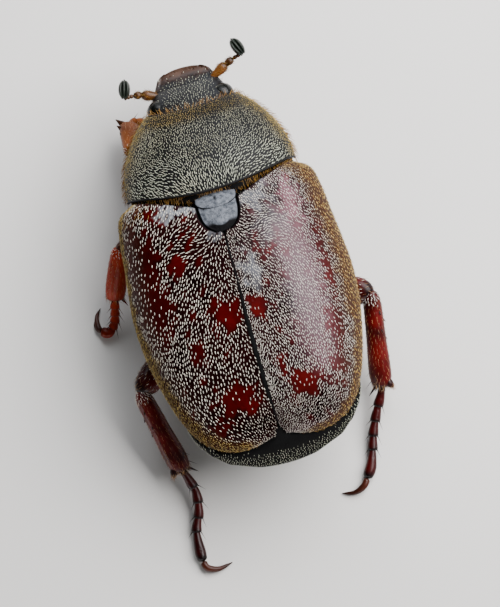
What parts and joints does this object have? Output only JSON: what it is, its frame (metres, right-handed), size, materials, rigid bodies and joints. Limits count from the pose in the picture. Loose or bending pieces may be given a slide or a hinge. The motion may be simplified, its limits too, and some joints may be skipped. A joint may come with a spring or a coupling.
{
  "type": "welsh chafer beetle model",
  "caption": "Life-size still model of a small scaly chafer beetle: rounded body under domed wing cases, hooded pronotum, clubbed antennae and hooked feet, standing on a flat floor.",
  "frame": {"origin": "middle of the model's bounding box, on the floor the feet stand on", "axes": "+Z is the animal's back, -Y its head, +X its left side"},
  "size_m": [0.0062, 0.0108, 0.0034],
  "materials": {
    "black_chitin": "black shell under fine pale scales",
    "wing_case": "glossy dark red shell under fine pale scales",
    "grey_plate": "satin blue-grey",
    "leg": "glossy mahogany red",
    "front_leg": "glossy orange-brown",
    "claw": "glossy dark red-brown",
    "eye": "glossy black",
    "antenna_stem": "satin orange-tan",
    "antenna_club": "satin greenish black"
  },
  "bodies": {
    "root": {"head": "black_chitin", "eye_left": "eye", "eye_right": "eye", "antenna_stem_left": "antenna_stem", "antenna_stem_right": "antenna_stem", "antenna_club_left": "antenna_club", "antenna_club_right": "antenna_club", "palp_left": "antenna_stem", "palp_right": "antenna_stem", "pronotum": "black_chitin", "scutellum": "grey_plate", "thorax": "black_chitin", "wing_case_left": "wing_case", "wing_case_right": "wing_case", "abdomen": "black_chitin", "pygidium": "black_chitin", "front_left_femur": "front_leg", "front_left_tibia": "front_leg", "front_left_tarsus": "front_leg", "front_left_claw": "claw", "front_right_femur": "leg", "front_right_tibia": "leg", "front_right_tarsus": "leg", "front_right_claw": "claw", "middle_left_femur": "leg", "middle_left_tibia": "leg", "middle_left_tarsus": "leg", "middle_left_claw": "claw", "middle_right_femur": "leg", "middle_right_tibia": "leg", "middle_right_tarsus": "leg", "middle_right_claw": "claw", "hind_left_femur": "leg", "hind_left_tibia": "leg", "hind_left_tarsus": "leg", "hind_left_claw": "claw", "hind_right_femur": "leg", "hind_right_tibia": "leg", "hind_right_tarsus": "leg", "hind_right_claw": "claw"}
  },
  "joints": []
}
